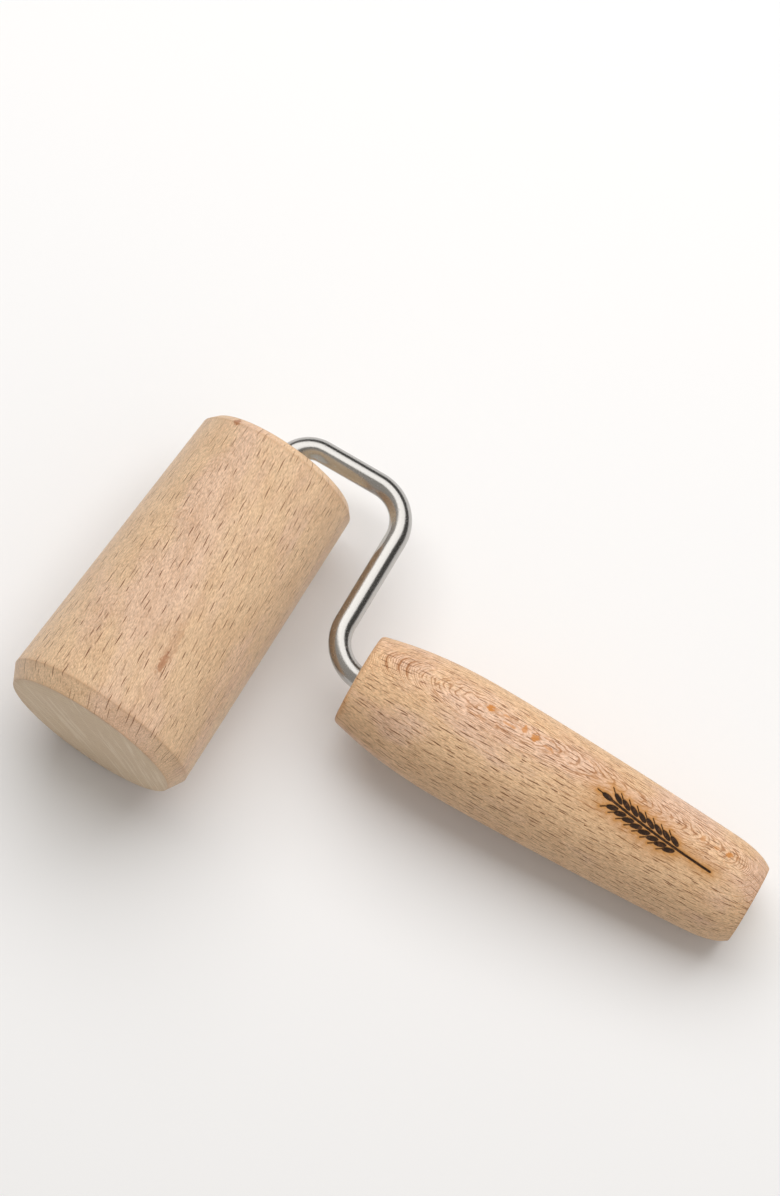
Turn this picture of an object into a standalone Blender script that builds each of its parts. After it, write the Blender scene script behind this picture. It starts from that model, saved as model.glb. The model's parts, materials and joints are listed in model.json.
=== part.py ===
"""Hand pastry roller, in metres and +Z up: a tapered beech barrel that turns on one end of a cranked steel
wire, and a turned beech handle driven onto the other end.

The tool is drawn flat, in its own plane: the handle runs along +X, the crank's shank along Y, and the middle
of the barrel's small end face is the plane's origin. It is then laid on a worktop as it comes to rest, on the
barrel's flank and the handle's tail, with the origin under the middle of its bounding box.
"""

import math

import bmesh
import bpy
from mathutils import Matrix, Vector

MM = 0.001
GAP = 0.3 * MM  # between pieces that fit or touch
FLOOR_ROUNDS = 40  # rounds of the search for the resting tilt
CORNER_ANGLE = math.radians(25)  # edges sharper than this stay crisp

# Barrel, measured from its small end face
BARREL_LENGTH = 86.4 * MM
BARREL_LARGE_R = 26.0 * MM
BARREL_SMALL_R = 22.75 * MM
LARGE_CHAMFER = (4.6 * MM, 2.5 * MM)  # along the axis, across it
SMALL_CHAMFER = (1.9 * MM, 1.6 * MM)
BARREL_STEPS = 96

# Cranked wire
WIRE_R = 3.0 * MM
AXLE_TOE = math.radians(3.5)  # how far the axle leans from the shank towards the handle
CRANK_RISE = 9.3 * MM  # from the barrel's face out to the cross arm
CRANK_REACH = 35.2 * MM  # from the axle across to the shank
HANDLE_DROP = 38.3 * MM  # from the barrel's face back to the handle's axis
EXIT_BEND_R = 7.6 * MM
CRANK_BEND_R = 11.0 * MM
BEND_STEPS = 10
WIRE_SIDES_RESOLUTION = 8
TIP_CHAMFER = 1.0 * MM

# Handle, measured from the end that the wire enters
HANDLE_START = 45.3 * MM  # from the axle's exit across to that end
HANDLE_LENGTH = 114.3 * MM
HANDLE_BELLY_R = 16.3 * MM
HANDLE_BELLY = 32.0 * MM
NOSE_LOSS = 3.9 * MM  # radius lost from the belly to the nose
NOSE_POWER = 2.2
TAPER_LOSS = 2.65 * MM  # radius lost from the belly to where the tail rounds off
TAPER_POWER = 1.55
TAIL_ROUND = 11.0 * MM
TAIL_LOSS = 3.1 * MM
NOSE_EDGE = 0.7 * MM
HANDLE_STEPS = 72
TAIL_ROWS = 8
BODY_ROWS = 16
TANG_DEPTH = 58.0 * MM
TANG_GROOVES = 5
GROOVE_PITCH = 5.0 * MM
GROOVE_HALF_WIDTH = 0.8 * MM
GROOVE_DEPTH = 0.4 * MM

# Bearing, measured inwards from the barrel's small end face
AXLE_DEPTH = 69.7 * MM
BORE_R = 5.5 * MM
COUNTERBORE_R = 7.5 * MM
COUNTERBORE_DEPTH = 24.0 * MM
FLANGE_R = 9.5 * MM
FLANGE_THICKNESS = 2.0 * MM
MOUTH_BUSH_LENGTH = 14.0 * MM
END_BUSH_LENGTH = 14.0 * MM
END_BUSH_FLOOR = 2.0 * MM
WASHER_R = 6.0 * MM
WASHER_THICKNESS = 1.0 * MM
NUT_R = 6.6 * MM
NUT_SHEET = 0.5 * MM
NUT_RIM = 1.3 * MM  # flat rim outside the cone
NUT_RISE = 1.1 * MM
NUT_SLOTS = 6
NUT_SLOT_WIDTH = 0.9 * MM
SMALL_STEPS = 40

BARREL_BEECH = ((0.66, 0.51, 0.37), 0.6, 0.0)
HANDLE_BEECH = ((0.63, 0.42, 0.26), 0.6, 0.0)
STEEL = ((0.72, 0.71, 0.69), 0.28, 1.0)
SPRING_STEEL = ((0.45, 0.45, 0.46), 0.35, 1.0)
NYLON = ((0.88, 0.86, 0.80), 0.45, 0.0)


def clear_scene():
    for obj in list(bpy.data.objects):
        bpy.data.objects.remove(obj, do_unlink=True)


def collection(name):
    made = bpy.data.collections.new(name)
    bpy.context.scene.collection.children.link(made)
    return made


def material(name, look):
    colour, roughness, metallic = look
    made = bpy.data.materials.new(name)
    made.use_nodes = True
    shader = made.node_tree.nodes["Principled BSDF"]
    shader.inputs["Base Color"].default_value = (*colour, 1.0)
    shader.inputs["Roughness"].default_value = roughness
    shader.inputs["Metallic"].default_value = metallic
    return made


def empty(name, parent, location, group, z_axis=(0, 0, 1)):
    """An empty whose local Z points along z_axis."""
    made = bpy.data.objects.new(name, None)
    group.objects.link(made)
    made.parent = parent
    made.location = location
    made.rotation_mode = "QUATERNION"
    made.rotation_quaternion = Vector(z_axis).to_track_quat("Z", "Y")
    return made


def turned(name, profile, look, parent, group, steps, closed=False):
    """A piece turned about its local Z, from (radius, height) points that run down its outer side."""
    mesh = bpy.data.meshes.new(name)
    edges = [(i, i + 1) for i in range(len(profile) - 1)]
    if closed:
        edges.append((len(profile) - 1, 0))
    mesh.from_pydata([(r, 0.0, z) for r, z in profile], edges, [])
    made = bpy.data.objects.new(name, mesh)
    group.objects.link(made)
    made.parent = parent
    mesh.materials.append(look)
    screw = made.modifiers.new("turn", "SCREW")
    screw.axis = "Z"
    screw.steps = steps
    screw.render_steps = steps
    screw.use_merge_vertices = True
    screw.merge_threshold = 0.00001
    return made


def shade_round(pieces):
    """Turns each piece's modifiers into its mesh and shades it smooth, with crisp corners."""
    bpy.context.view_layer.update()
    graph = bpy.context.evaluated_depsgraph_get()
    meshes = [bpy.data.meshes.new_from_object(piece.evaluated_get(graph)) for piece in pieces]
    for piece, mesh in zip(pieces, meshes):
        piece.modifiers.clear()
        piece.data = mesh
        mesh.name = piece.name
        mesh.shade_smooth()
        mesh.set_sharp_from_angle(angle=CORNER_ANGLE)


def axle_direction():
    """The barrel's axis in the tool's plane, pointing out of the small end."""
    return Vector((math.sin(AXLE_TOE), math.cos(AXLE_TOE), 0.0))


def handle_nose():
    """Where the handle's axis meets its front face, just before the wire's last bend ends."""
    return Vector((HANDLE_START, -HANDLE_DROP, 0.0))


def handle_radius(along):
    """The handle's outline: a swelling nose, a slow taper and a rounded tail."""
    if along < HANDLE_BELLY:
        return HANDLE_BELLY_R - NOSE_LOSS * (1 - along / HANDLE_BELLY) ** NOSE_POWER
    tail = HANDLE_LENGTH - TAIL_ROUND
    taper = (along - HANDLE_BELLY) / (tail - HANDLE_BELLY)
    radius = HANDLE_BELLY_R - TAPER_LOSS * taper**TAPER_POWER
    if along > tail:
        share = min(1.0, (along - tail) / TAIL_ROUND)
        radius -= TAIL_LOSS * (1 - math.sqrt(1 - share * share))
    return radius


def handle_outline():
    """(radius, height) points down the handle's outer side, from tail to nose."""
    tail = HANDLE_LENGTH - TAIL_ROUND
    quarter = [math.radians(90) * i / TAIL_ROWS for i in range(TAIL_ROWS, 0, -1)]
    heights = [tail + TAIL_ROUND * math.sin(angle) for angle in quarter]
    heights += [NOSE_EDGE + (tail - NOSE_EDGE) * i / BODY_ROWS for i in range(BODY_ROWS, -1, -1)]
    outline = [(handle_radius(z), z) for z in heights]
    nose = handle_radius(0)
    edge = [math.radians(angle) for angle in (30, 60, 90)]
    outline += [(nose - NOSE_EDGE * (1 - math.cos(a)), NOSE_EDGE * (1 - math.sin(a))) for a in edge]
    return outline


def barrel(look, parent, group):
    """The tapered barrel, with the stepped blind bore that its bearing is pushed into."""
    bore_depth = AXLE_DEPTH + GAP + END_BUSH_FLOOR + GAP
    along_large, across_large = LARGE_CHAMFER
    along_small, across_small = SMALL_CHAMFER
    recess = FLANGE_THICKNESS + GAP
    profile = [
        (0.0, -bore_depth),
        (BORE_R, -bore_depth),
        (BORE_R, -COUNTERBORE_DEPTH),
        (COUNTERBORE_R, -COUNTERBORE_DEPTH),
        (COUNTERBORE_R, -recess),
        (FLANGE_R + GAP, -recess),
        (FLANGE_R + GAP, 0.0),
        (BARREL_SMALL_R - across_small, 0.0),
        (BARREL_SMALL_R, -along_small),
        (BARREL_LARGE_R, along_large - BARREL_LENGTH),
        (BARREL_LARGE_R - across_large, -BARREL_LENGTH),
        (0.0, -BARREL_LENGTH),
    ]
    return turned("roller_barrel", profile, look, parent, group, BARREL_STEPS)


def mouth_bush(look, parent, group):
    """The flanged bearing bush, flush with the barrel's small end."""
    bore = WIRE_R + GAP
    body = COUNTERBORE_R - GAP
    profile = [
        (bore, 0.0),
        (FLANGE_R, 0.0),
        (FLANGE_R, -FLANGE_THICKNESS),
        (body, -FLANGE_THICKNESS),
        (body, -MOUTH_BUSH_LENGTH),
        (bore, -MOUTH_BUSH_LENGTH),
    ]
    return turned("mouth_bush", profile, look, parent, group, SMALL_STEPS, closed=True)


def end_bush(look, parent, group):
    """The capped bush at the bottom of the bore, whose floor takes the axle's end thrust."""
    floor = -AXLE_DEPTH - GAP
    top = floor - END_BUSH_FLOOR + END_BUSH_LENGTH
    bore = WIRE_R + GAP
    body = BORE_R - GAP
    profile = [
        (0.0, floor),
        (bore, floor),
        (bore, top),
        (body, top),
        (body, floor - END_BUSH_FLOOR),
        (0.0, floor - END_BUSH_FLOOR),
    ]
    return turned("end_bush", profile, look, parent, group, SMALL_STEPS)


def thrust_washer(look, parent, group):
    top = -MOUTH_BUSH_LENGTH - GAP
    profile = [
        (WIRE_R + GAP, top),
        (WASHER_R, top),
        (WASHER_R, top - WASHER_THICKNESS),
        (WIRE_R + GAP, top - WASHER_THICKNESS),
    ]
    return turned("thrust_washer", profile, look, parent, group, SMALL_STEPS, closed=True)


def slot_cutter(parent, group, height):
    """Radial boxes, in one mesh, that cut the push nut's teeth apart."""
    mesh = bpy.data.meshes.new("nut_slots")
    shape = bmesh.new()
    inner, outer = WIRE_R - 2 * GAP, NUT_R - NUT_RIM
    for i in range(NUT_SLOTS):
        turn = Matrix.Rotation(2 * math.pi * i / NUT_SLOTS, 4, "Z")
        place = turn @ Matrix.Translation(((inner + outer) / 2, 0.0, height))
        size = Matrix.Diagonal((outer - inner, NUT_SLOT_WIDTH, 4 * NUT_RISE, 1.0))
        bmesh.ops.create_cube(shape, size=1.0, matrix=place @ size)
    shape.to_mesh(mesh)
    shape.free()
    made = bpy.data.objects.new("nut_slots", mesh)
    group.objects.link(made)
    made.parent = parent
    made.hide_render = True
    made.display_type = "WIRE"
    return made


def push_nut(look, parent, group, cutters):
    """The toothed push-on nut, a dished ring of spring sheet that keeps the barrel on the axle."""
    rim = -MOUTH_BUSH_LENGTH - WASHER_THICKNESS - 2 * GAP
    bend = NUT_R - NUT_RIM
    profile = [
        (bend, rim),
        (NUT_R, rim),
        (NUT_R, rim - NUT_SHEET),
        (bend, rim - NUT_SHEET),
        (WIRE_R + GAP, rim - NUT_SHEET - NUT_RISE),
        (WIRE_R + GAP, rim - NUT_RISE),
    ]
    made = turned("push_nut", profile, look, parent, group, SMALL_STEPS, closed=True)
    cut = made.modifiers.new("slots", "BOOLEAN")
    cut.operation = "DIFFERENCE"
    cut.object = slot_cutter(parent, cutters, rim - NUT_RISE)
    return made


def bend_points(before, corner, after, radius):
    """Points along the arc that rounds a corner of the wire's path."""
    arrive = (corner - before).normalized()
    leave = (after - corner).normalized()
    turn = arrive.angle(leave)
    tangent = radius * math.tan(turn / 2)
    start = corner - arrive * tangent
    side = (leave - arrive * arrive.dot(leave)).normalized()
    centre = start + side * radius
    angles = [turn * i / BEND_STEPS for i in range(BEND_STEPS + 1)]
    return [centre - side * radius * math.cos(a) + arrive * radius * math.sin(a) for a in angles]


def tang_stations(nose):
    """(point, share of the wire's radius) along the tang, with the grooves that the glue keys into."""
    end = TANG_DEPTH - TIP_CHAMFER
    grooved = 1 - GROOVE_DEPTH / WIRE_R
    stations = []
    for i in range(TANG_GROOVES, 0, -1):
        middle = end - i * GROOVE_PITCH
        for step, share in ((-2, 1.0), (-1, grooved), (1, grooved), (2, 1.0)):
            stations.append((middle + step * GROOVE_HALF_WIDTH / 2, share))
    stations += [(end, 1.0), (TANG_DEPTH, 1 - TIP_CHAMFER / WIRE_R)]
    return [(nose + Vector((along, 0, 0)), share) for along, share in stations]


def wire_frame(look, parent, group):
    """One piece of wire: axle, exit bend, cross arm, shank, and the tang inside the handle."""
    axis = axle_direction()
    tip = -axis * AXLE_DEPTH
    exit_corner = axis * (CRANK_RISE / math.cos(AXLE_TOE))
    outer_corner = Vector((CRANK_REACH, CRANK_RISE, 0))
    lower_corner = Vector((CRANK_REACH, -HANDLE_DROP, 0))
    nose = handle_nose()
    stations = [(tip, 1 - TIP_CHAMFER / WIRE_R), (tip + axis * TIP_CHAMFER, 1.0)]
    for before, corner, after, radius in (
        (tip, exit_corner, outer_corner, EXIT_BEND_R),
        (exit_corner, outer_corner, lower_corner, CRANK_BEND_R),
        (outer_corner, lower_corner, nose, CRANK_BEND_R),
    ):
        stations += [(point, 1.0) for point in bend_points(before, corner, after, radius)]
    stations += tang_stations(nose)
    curve = bpy.data.curves.new("wire_frame", "CURVE")
    curve.dimensions = "3D"
    curve.bevel_depth = WIRE_R
    curve.bevel_resolution = WIRE_SIDES_RESOLUTION
    curve.use_fill_caps = True
    curve.twist_mode = "Z_UP"
    spline = curve.splines.new("POLY")
    spline.points.add(len(stations) - 1)
    for point, (place, share) in zip(spline.points, stations):
        point.co = (*place, 1.0)
        point.radius = share
    curve.materials.append(look)
    made = bpy.data.objects.new("wire_frame", curve)
    group.objects.link(made)
    made.parent = parent
    return made


def handle(look, parent, group):
    bore = WIRE_R + GAP
    bore_depth = TANG_DEPTH + GAP
    tail = [(0.0, HANDLE_LENGTH)]
    socket = [(bore, 0.0), (bore, bore_depth), (0.0, bore_depth)]
    profile = tail + handle_outline() + socket
    return turned("handle", profile, look, parent, group, HANDLE_STEPS)


def lowest(up, centre, axis, radius):
    """The height, along up, of the lowest point of a ring."""
    return up.dot(centre) - radius * math.sqrt(max(0.0, 1 - up.dot(axis) ** 2))


def resting_rotation():
    """Turns the tool's plane so that both ends of the barrel's flank and the handle's tail touch one floor."""
    axis = axle_direction()
    nose = handle_nose()
    along = Vector((1, 0, 0))
    small = (-axis * SMALL_CHAMFER[0], BARREL_SMALL_R)
    large = (-axis * (BARREL_LENGTH - LARGE_CHAMFER[0]), BARREL_LARGE_R)
    rings = [(nose + along * z, radius) for radius, z in handle_outline()]
    up = Vector((0, 0, 1))
    for _ in range(FLOOR_ROUNDS):
        large_low = lowest(up, large[0], axis, large[1])
        small_low = lowest(up, small[0], axis, small[1])
        handle_low = min(lowest(up, centre, along, radius) for centre, radius in rings)
        tip_x = up.x - (handle_low - large_low) / (nose.x + HANDLE_LENGTH)
        tip_y = up.y - (small_low - large_low) / BARREL_LENGTH
        up = Vector((tip_x, tip_y, math.sqrt(1 - tip_x**2 - tip_y**2)))
    across = (along - up * up.x).normalized()
    return Matrix((across, up.cross(across), up)).to_quaternion()


def world_bounds(pieces):
    """The lowest and highest corners of the pieces' shapes, in world space."""
    bpy.context.view_layer.update()
    graph = bpy.context.evaluated_depsgraph_get()
    places = []
    for piece in pieces:
        shape = piece.evaluated_get(graph)
        places += [shape.matrix_world @ vertex.co for vertex in shape.to_mesh().vertices]
        shape.to_mesh_clear()
    return Vector(map(min, zip(*places))), Vector(map(max, zip(*places)))


def main():
    clear_scene()
    tool = collection("pastry_roller")
    cutters = collection("cutters")
    barrel_beech = material("barrel_beech", BARREL_BEECH)
    handle_beech = material("handle_beech", HANDLE_BEECH)
    steel = material("stainless_steel", STEEL)
    spring_steel = material("spring_steel", SPRING_STEEL)
    nylon = material("nylon", NYLON)

    plane = empty("tool_plane", None, (0, 0, 0), tool)
    spin = empty("barrel_axis", plane, (0, 0, 0), tool, axle_direction())
    grip = empty("handle_axis", plane, handle_nose(), tool, (1, 0, 0))

    round_pieces = [
        barrel(barrel_beech, spin, tool),
        mouth_bush(nylon, spin, tool),
        end_bush(nylon, spin, tool),
        thrust_washer(steel, spin, tool),
        push_nut(spring_steel, spin, tool, cutters),
        handle(handle_beech, grip, tool),
    ]
    wire = wire_frame(steel, plane, tool)
    shade_round(round_pieces)

    plane.rotation_quaternion = resting_rotation()
    low, high = world_bounds(round_pieces + [wire])
    plane.location = Vector((-(low.x + high.x) / 2, -(low.y + high.y) / 2, -low.z))
    bpy.context.view_layer.update()


if __name__ == "__main__":
    main()
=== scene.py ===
"""The looks of the pastry roller: turned beech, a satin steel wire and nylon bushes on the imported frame."""

import json
import math

import bmesh
import bpy
import numpy as np
from mathutils import Matrix, Vector


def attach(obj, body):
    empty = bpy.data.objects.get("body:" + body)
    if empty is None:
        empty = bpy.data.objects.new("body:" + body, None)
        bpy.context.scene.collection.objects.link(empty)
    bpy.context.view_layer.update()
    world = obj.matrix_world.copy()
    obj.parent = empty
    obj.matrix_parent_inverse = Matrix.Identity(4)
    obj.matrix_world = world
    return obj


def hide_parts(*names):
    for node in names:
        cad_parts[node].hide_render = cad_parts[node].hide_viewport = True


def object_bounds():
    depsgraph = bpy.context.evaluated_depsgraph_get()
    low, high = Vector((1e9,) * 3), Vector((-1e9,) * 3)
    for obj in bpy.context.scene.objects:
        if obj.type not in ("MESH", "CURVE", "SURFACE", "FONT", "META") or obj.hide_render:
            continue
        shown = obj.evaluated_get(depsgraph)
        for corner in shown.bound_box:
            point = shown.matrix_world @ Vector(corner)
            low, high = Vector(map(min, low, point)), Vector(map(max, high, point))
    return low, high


MM = 0.001

# Turned pieces
BARREL_COLUMNS = 288
BARREL_ROW = 0.6 * MM  # longest step between the rows that show
BARREL_HIDDEN_ROW = 2.4 * MM
HANDLE_ROW = 0.9 * MM
HANDLE_HIDDEN_ROW = 2.7 * MM
HANDLE_COLUMN = math.radians(3.2)
WORN_EDGE = 0.35 * MM  # rounding of the turned corners
WORN_STEPS = 4
CORNER_ROOM = 2.2  # a rounding takes at most an edge's length divided by this
SLIGHT_TURN = math.radians(4)  # corners that turn less than this aren't rounded
SHARP_TURN = math.radians(25)  # corners that turn more than this aren't eased
SHARP_EDGE = math.radians(40)  # edges that turn more than this are shaded sharp
OUTSIDE_R = 10.0 * MM  # what lies further out than this is a turned piece's outside
EASING_ROUNDS = 10
TOOL_RIPPLE = 0.012 * MM  # height of the marks that turning and sanding leave
LONG_RIPPLE = 1.7 * MM  # height in which the marks' waves turn by one radian
SHORT_RIPPLE = 0.61 * MM
RIM_REACH = 0.4 * MM  # distance in which the rubbing of a corner falls to a third

# Bearing, as in the frame
BUSH_FLANGE_R = 9.5 * MM
BUSH_FLANGE = 2.0 * MM
BUSH_LENGTH = 14.0 * MM
BUSH_GAP = 0.3 * MM
COUNTERBORE_R = 7.5 * MM
COUNTERBORE_DEPTH = 24.0 * MM
BORE_R = 5.5 * MM
BORE_DEPTH = 72.3 * MM
BUSH_COLUMNS = 96
BUSH_LIP = 1.2 * MM  # flat rims of the flange, on both sides of its dish
BUSH_SLOPE = 0.4 * MM
BUSH_DISH = 0.3 * MM
BUSH_EDGE = 0.2 * MM

# Cranked wire, as in the frame
WIRE_R = 3.0 * MM
AXLE_DEPTH = 69.7 * MM
CRANK_RISE = 9.3 * MM
CRANK_REACH = 35.2 * MM
HANDLE_DROP = 38.3 * MM
TANG_DEPTH = 58.0 * MM
TANG_GROOVE_PITCH = 5.0 * MM
TANG_GROOVES = 5
TANG_GROOVE = 0.4 * MM
TANG_GROOVE_SHARE = 6  # a groove's half width is the pitch divided by this
EXIT_BEND_R = 7.6 * MM
CRANK_BEND_R = 11.0 * MM
WIRE_COLUMNS = 48
WIRE_STEP = 0.7 * MM
TIP_CHAMFER = 1.0 * MM
BEND_OVAL = 0.025  # share by which the wire flattens in a bend
DIE_MARK = 0.16 * MM  # depth of the flat that the bending die left below the upper bend
DIE_MARK_REACH = 5.0 * MM
DIE_MARK_SIDE = math.radians(22)

# Burned mark: a plain ear of wheat, along the handle
MARK_START = (101.0 * MM, math.radians(-6.0))  # foot of the stalk: from the nose, round from the top
MARK_END = (66.5 * MM, math.radians(8.5))
MARK_R = 15.0 * MM  # the handle's own radius there, for lengths round it
MARK_MARGIN = 4.0 * MM
MARK_STEP = 0.16 * MM  # rows and columns are this close where the mark is
BURN_DEPTH = 0.22 * MM
BURN_EDGE = 0.16 * MM  # width of the mark's sloping edge
SCORCH_REACH = 1.5 * MM  # distance in which the scorch falls to a third
STALK_HALF = 0.32 * MM
STALK_BEND = 0.5 * MM
KERNEL_PAIRS = 8
KERNEL_PITCH = 2.5 * MM
KERNEL_HALF = (1.65 * MM, 0.68 * MM)
KERNEL_TILT = math.radians(24)
KERNEL_OUT = 1.45 * MM  # from the stalk's middle to a kernel's
AWN_HALF = 0.13 * MM
AWN_LENGTH = 3.0 * MM
AWN_TILT = math.radians(40)

# Beech: colours are linear, lengths in millimetres
RAY_BROWN = (0.17, 0.062, 0.02)
LAYER_BROWN = (0.35, 0.15, 0.055)
BEECH_END = (0.735, 0.573, 0.392)
BEECH_END_LATE = (0.44, 0.32, 0.20)
BEECH_RAY = (0.90, 0.765, 0.59)
CHAR = (0.018, 0.007, 0.003)
CHAR_BROWN = (0.075, 0.030, 0.012)
SCORCH = (0.50, 0.23, 0.06)
CHAR_WAVES = (900.0, 900.0, 900.0)  # per metre
PITH_DISTANCE = 90.0  # from the log's pith to the piece's axis
RING_DRIFT = 2.2  # how far the year's rings wander
RAY_SWAY = 0.7
LAYER_WAVER = 0.24
BOLD_EDGE = (0.085, 0.035)  # distances between which a bold layer fades in
BOLD_TURN = (0.28, 0.12)  # the same for the turn from the bark's side, as a share of the radius
BOLD_HEIGHT = (45.0, 15.0)
DASH_PLACE = 40.2  # places of their own in the noise, for the rays and the fine rays
SPECK_PLACE = 45.7
SPECK_CELL = (0.85, 2.3)  # room for each fine ray, across and along the grain
SPECK = (0.075, 0.75)  # half sizes of the fine rays
END_FACING = (0.70, 0.97)  # shares of facing along the axis between which the end grain fades in
SHEEN_ROUGHNESS = 0.45
GRAIN_DEPTH = 0.065 * MM
AXIS_SHIFTS = (0.0, 0.37, 0.61)  # keep the log's middle off the noise's lattice

# Patterns in the log: sizes along the ray, along the ring and up the tree, a place of their own in the
# noise, and the noise's detail and roughness
GRAIN = {
    "patch": ((9.0, 10.0, 26.0), 0.0, 3.0, 0.5),  # drift from pink to yellow
    "blotch": ((5.0, 6.0, 12.0), 5.0, 2.0, 0.5),
    "drift": ((14.0, 9.0, 60.0), 10.0, 2.0, 0.5),  # how far the rings wander
    "ripple": ((3.0, 1.5, 3.2), 15.0, 2.0, 0.5),
    "broken": ((0.8, 1.4, 3.4), 17.0, 2.0, 0.5),  # where the late wood breaks off
    "fibre": ((0.22, 0.30, 1.1), 20.0, 2.0, 0.65),
    "vessels": ((0.09, 0.24, 1.3), 25.0, 1.0, 0.5),
    "streak": ((0.7, 1.4, 18.0), 30.0, 3.0, 0.6),
    "sway": ((20.0, 3.0, 6.0), 35.0, 1.0, 0.5),  # how far the rays wander
    "end_rays": ((14.0, 1.1, 500.0), 55.0, 2.0, 0.65),
    "end_pores": ((0.22, 0.22, 500.0), 60.0, 2.0, 0.6),
    "waver": ((2.0, 2.4, 3.0), 62.0, 2.0, 0.5),  # how far the thin layers wander
    "gaps": ((0.4, 2.6, 2.6), 65.0, 1.0, 0.5),  # where the thin layers break off
    "ragged": ((1.5, 0.5, 0.8), 70.0, 1.0, 0.5),  # the flecks' edges
}

# One set of values for each piece. Places are in the piece's own frame, whose Z is its axis.
BARREL_WOOD = {
    "bark": (-0.43, -0.90),  # where the bark lies, across the piece's axis
    "radius": 24.5,  # the piece's own, about the middle of its length
    "lean": 0.12,  # slope of the grain
    "line": 0.5,  # where in a year's ring its late wood starts
    "seed": 3.0,
    "ring": 1.6,  # thickness of a year's ring
    "ripple": 0.4,  # how far the rings ripple
    "sheet": 0.13,  # thickness of the thin layers within a year
    "bold": (),  # places of the boldest layers, from the axis towards the bark
    "dash_cell": (2.0, 6.8),  # room for each ray, across and along the grain
    "dash": (0.13, 2.6),  # half sizes of the rays
    # Colours
    "pink": (0.707, 0.492, 0.350),
    "yellow": (0.705, 0.495, 0.313),
    "late": (0.47, 0.265, 0.135),
    "fleck": (0.36, 0.14, 0.055),
    # Strengths
    "speck": 0.45,
    "contrast": 0.2,  # of the late wood
    "arcs": 0.16,  # of the thin layers
    "blotch": 0.2,
    "fibre": 1.25,
    "shine": 0.4,
    "sheen": 0.16,
    "rim": 0.6,  # of the rubbed corners
    # Reddish flecks: centre, half sizes and strength
    "flecks": (
        ((7.1, -24.3, -66.0), (1.1, 3.0, 3.2), 0.6),
        ((6.9, -24.2, -62.0), (1.7, 3.0, 8.5), 0.28),
        ((-13.4, -18.4, -1.6), (1.2, 2.0, 1.6), 0.95),
    ),
}
HANDLE_WOOD = {
    "bark": (0.39, 0.92),
    "radius": 15.5,
    "lean": 0.0,
    "line": 0.72,
    "seed": 71.0,
    "ring": 0.52,
    "ripple": 0.3,
    "sheet": 0.12,
    "bold": (13.40, 14.12, 14.50),
    "dash_cell": (1.4, 5.2),
    "dash": (0.15, 2.6),
    "pink": (0.735, 0.510, 0.373),
    "yellow": (0.735, 0.502, 0.307),
    "late": (0.44, 0.20, 0.075),
    "fleck": (0.55, 0.22, 0.05),
    "speck": 0.55,
    "contrast": 0.85,
    "arcs": 0.72,
    "blotch": 0.12,
    "fibre": 1.25,
    "shine": 0.22,
    "sheen": 0.0,
    "rim": 0.65,
    "flecks": (
        ((6.5, 14.9, 33.2), (1.2, 2.0, 1.2), 0.95),
        ((6.9, 14.7, 37.6), (0.5, 2.0, 1.1), 0.6),
        ((5.0, 15.3, 39.6), (0.5, 2.0, 2.2), 0.65),
        ((6.1, 14.9, 43.3), (1.3, 2.0, 0.9), 0.75),
        ((5.7, 15.0, 46.6), (1.4, 2.0, 1.1), 0.85),
        ((4.9, 15.1, 51.0), (0.6, 2.0, 1.5), 0.6),
        ((5.6, 13.1, 95.6), (1.3, 2.0, 0.8), 0.5),
        ((4.9, 13.0, 99.6), (0.7, 2.0, 0.9), 0.5),
        ((5.3, 12.6, 103.4), (1.1, 2.0, 1.1), 0.85),
        ((-10.4, 7.4, 0.0), (7.0, 7.0, 1.6), 0.25),
    ),
}

# Metal and nylon: colours are linear
STEEL_DIM = (0.44, 0.428, 0.412)
STEEL_BRIGHT = (0.56, 0.55, 0.535)
DRAW_LINES = (9.0, 9.0, 0.035)  # waves to a radius across the wire, both ways, and to a millimetre along it
SCUFFS = (3.0, 3.0, 1.1)
CLOUDS = (1.1, 1.1, 0.10)
STEEL_RELIEF = 0.012 * MM
OXIDE_BLUE = (0.16, 0.165, 0.19)
OXIDE_BROWN = (0.24, 0.22, 0.20)
OXIDE_RUBBED = (0.48, 0.47, 0.46)
OXIDE_WAVES = (420.0, 420.0, 420.0)  # per metre
RUB_WAVES = (2600.0, 900.0, 2600.0)
RUB_RELIEF = 0.01 * MM
NYLON_DIM = (0.66, 0.64, 0.58)
NYLON_PALE = (0.74, 0.72, 0.67)
NYLON_SCATTER = 0.6 * MM
SPARK_WAVES = (5200.0, 5200.0, 5200.0)
NYLON_WAVES = (240.0, 240.0, 240.0)
SPARK_RELIEF = 0.02 * MM

# Studio, in metres
CAMERA_BACK = 1.0722  # from the aim point
CAMERA_AIM = (-0.0228, 0.0217, 0.0219)
CAMERA_AZIMUTH = math.radians(27.17)
CAMERA_ELEVATION = math.radians(74.10)
CAMERA_ROLL = math.radians(2.76)
CAMERA_LENS = 126.42  # millimetres, like the sensor
SENSOR = 36.0
CAMERA_NEAR = 0.01
SOFTBOX_TOWARDS = (-0.12, 0.48, 0.87)
SOFTBOX_BACK = 0.95
SOFTBOX_SIZE = (1.35, 0.88)
SOFTBOX_WATTS = 11.6
SOFTBOX_COLOUR = (1.0, 0.985, 0.965)
SOFTBOX_SHINE = 0.55  # share of the softbox that reflections show
FILL_TOWARDS = (0.76, 0.26, 0.50)
FILL_BRIGHT = (0.56, 0.53, 0.49)
FILL_DIM = (0.165, 0.158, 0.150)
FILL_EDGE = (-0.6, 0.6)  # shares of facing that way between which the fill grows
FRONT = (-0.55, -0.83, 0.0)
FRONT_EDGE = (-0.5, 0.35)
MIRRORED_FRONT = (0.42, 0.40, 0.37)
MIRRORED_BACK = (0.07, 0.068, 0.064)
BACKDROP = (0.86, 0.86, 0.86)
FLOOR_COLOUR = (0.85, 0.862, 0.885)
FLOOR_SIZE = 6.0


# Frame


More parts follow.
